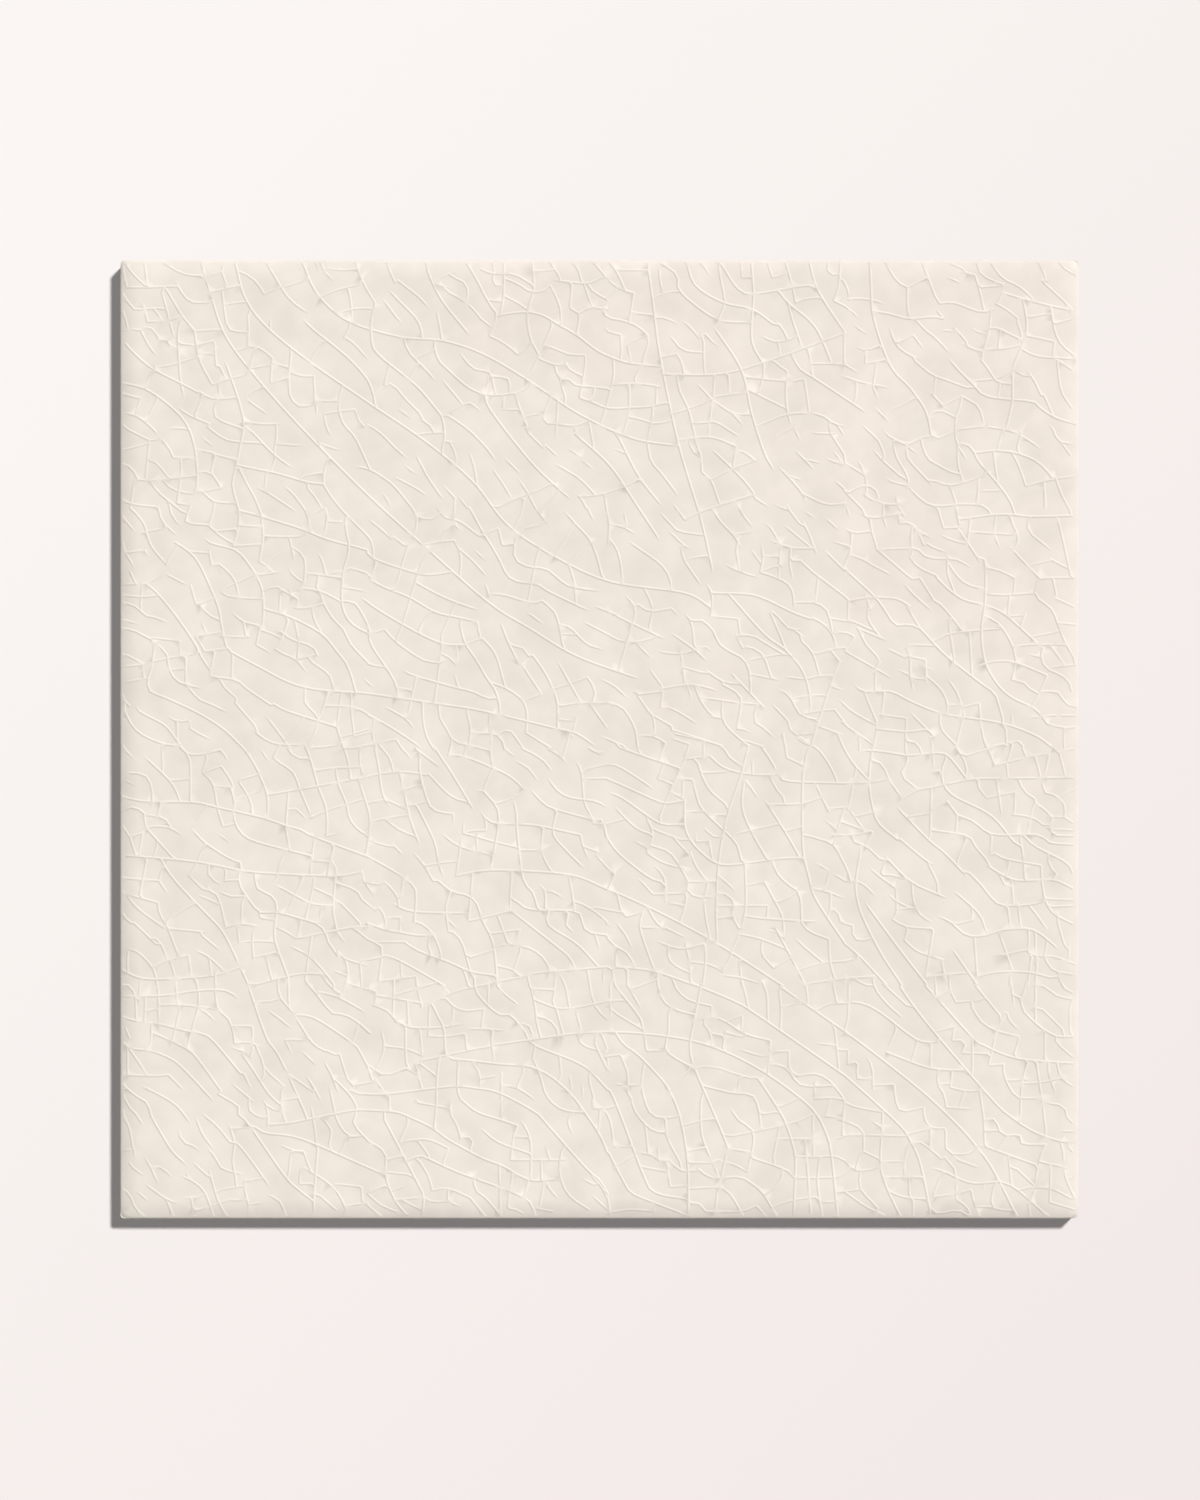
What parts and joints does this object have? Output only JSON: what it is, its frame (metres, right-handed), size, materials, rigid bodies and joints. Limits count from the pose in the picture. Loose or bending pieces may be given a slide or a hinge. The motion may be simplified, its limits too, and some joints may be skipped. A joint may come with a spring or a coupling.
{
  "type": "wall tile",
  "caption": "Square glazed ceramic wall tile with cushion edges, a raised crackle over its ivory face and a waffle key pressed into its back.",
  "frame": {"origin": "middle of the tile's back, on the plane of its ribs", "axes": "+Z out of the glazed face, +X and +Y square to two neighbouring sides; +Y is the upper side in the picture"},
  "size_m": [0.15, 0.15, 0.008],
  "materials": {
    "crackle_glaze": "satin ivory crackle glaze on the face and the upper part of the sides, bare fired clay on the back"
  },
  "bodies": {
    "root": {"tile": "crackle_glaze"}
  },
  "joints": []
}
